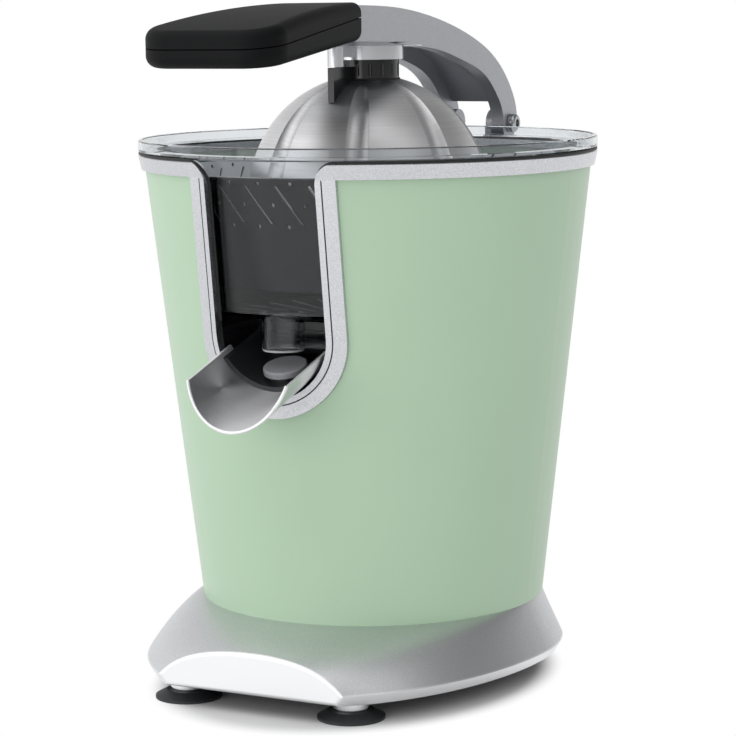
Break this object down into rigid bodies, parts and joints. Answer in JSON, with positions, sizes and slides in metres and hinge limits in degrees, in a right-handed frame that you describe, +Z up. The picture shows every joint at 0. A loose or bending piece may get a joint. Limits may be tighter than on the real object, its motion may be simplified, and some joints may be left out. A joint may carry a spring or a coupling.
{
  "type": "electric citrus juicer",
  "caption": "Lever-press electric citrus juicer: tapered body with a tilting front spout, clear bowl, strainer, motor-driven reamer and a fluted steel dome pressed down by a hinged arm.",
  "frame": {"origin": "point on the floor under the drive axis, in the plane the suction feet stand on", "axes": "+Z up along the drive axis, -Y towards the spout and the grip, +X to the juicer's left as seen from its user"},
  "size_m": [0.22, 0.2807, 0.3196],
  "materials": {
    "silver_paint": "fine metallic silver paint, satin",
    "mint_enamel": "satin mint green enamel",
    "brushed_steel": "brushed stainless steel",
    "clear_plastic": "clear moulded plastic",
    "smoke_plastic": "dark strainer plastic",
    "black_plastic": "black moulded plastic",
    "grip_black": "soft-touch black plastic",
    "grey_rubber": "grey silicone rubber",
    "black_rubber": "black rubber",
    "screw_steel": "zinc plated steel",
    "silver_plastic": "silver painted moulded plastic",
    "motor_steel": "laminated motor steel",
    "copper": "enamelled copper wire",
    "bracket_metal": "die-cast aluminium",
    "gear_plastic": "natural acetal",
    "bronze": "sintered bronze"
  },
  "bodies": {
    "frame": {"base_housing": "silver_plastic", "base_plate": "black_plastic", "foot_stems": "silver_plastic", "suction_cups": "black_rubber", "base_screws": "screw_steel", "cord_grommet": "black_rubber", "body_shell": "mint_enamel", "trim_bezel": "silver_plastic", "motor_deck": "black_plastic", "spout_niche": "black_plastic", "hinge_bracket": "silver_paint", "bracket_screws": "screw_steel", "juice_bowl": "clear_plastic", "strainer": "smoke_plastic", "hinge_bolts": "screw_steel", "spout_pin": "screw_steel", "motor_mounts": "black_rubber", "motor_lower_bracket": "bracket_metal", "motor_stator": "motor_steel", "motor_windings": "copper", "motor_bolts": "screw_steel", "motor_upper_bracket": "bracket_metal", "motor_bushes": "bronze", "idler_pin": "screw_steel", "gearbox_cover": "black_plastic", "gearbox_screws": "screw_steel", "start_switch": "black_plastic", "switch_leaf": "screw_steel", "shaft_bush": "bronze", "shaft_seal": "black_rubber"},
    "lever": {"lever_arm": "silver_paint", "grip_upper": "grip_black", "grip_lower": "grip_black", "grip_screws": "screw_steel", "hinge_bushes": "bronze", "press_dome": "brushed_steel", "dome_collar": "black_plastic", "dome_screw": "screw_steel"},
    "spout": {"spout_trough": "brushed_steel", "spout_carrier": "black_plastic", "drip_pad": "grey_rubber"},
    "rotor": {"rotor_core": "motor_steel", "motor_shaft": "screw_steel", "motor_pinion": "bronze", "cooling_fan": "black_plastic"},
    "idler": {"idler_gear": "gear_plastic"},
    "output": {"output_gear": "gear_plastic"},
    "shaft": {"drive_shaft": "screw_steel", "shaft_collar": "gear_plastic", "reamer_cone": "black_plastic"},
    "button": {"switch_button": "gear_plastic"}
  },
  "joints": [
    {"name": "lever_swing", "type": "hinge", "parent": "frame", "child": "lever", "pos_m": [0, 0.1195, 0.257], "axis": [-1, 0, 0], "range_deg": [0, 80]},
    {"name": "spout_tilt", "type": "hinge", "parent": "frame", "child": "spout", "pos_m": [0, -0.0635, 0.1623], "axis": [-1, 0, 0], "range_deg": [0, 17]},
    {"name": "rotor_spin", "type": "hinge", "parent": "frame", "child": "rotor", "pos_m": [0, 0, 0.08], "axis": [0, 0, 1], "continuous": true},
    {"name": "idler_spin", "type": "hinge", "parent": "frame", "child": "idler", "pos_m": [0, 0.0375, 0.12], "axis": [0, 0, 1], "continuous": true},
    {"name": "output_spin", "type": "hinge", "parent": "frame", "child": "output", "pos_m": [0, 0, 0.126], "axis": [0, 0, 1], "continuous": true},
    {"name": "shaft_press", "type": "slide", "parent": "output", "child": "shaft", "axis": [0, 0, -1], "range_m": [0, 0.002], "stiffness_N_per_m": 1500, "springref_m": -0.004, "deforming": ["switch_leaf"]},
    {"name": "switch_press", "type": "slide", "parent": "frame", "child": "button", "axis": [0, 0, -1], "range_m": [0, 0.002]}
  ],
  "couplings": [
    {"joint": "idler_spin", "follows": "rotor_spin", "ratio": -0.25},
    {"joint": "output_spin", "follows": "rotor_spin", "ratio": 0.0625},
    {"joint": "switch_press", "follows": "shaft_press", "ratio": 1}
  ]
}
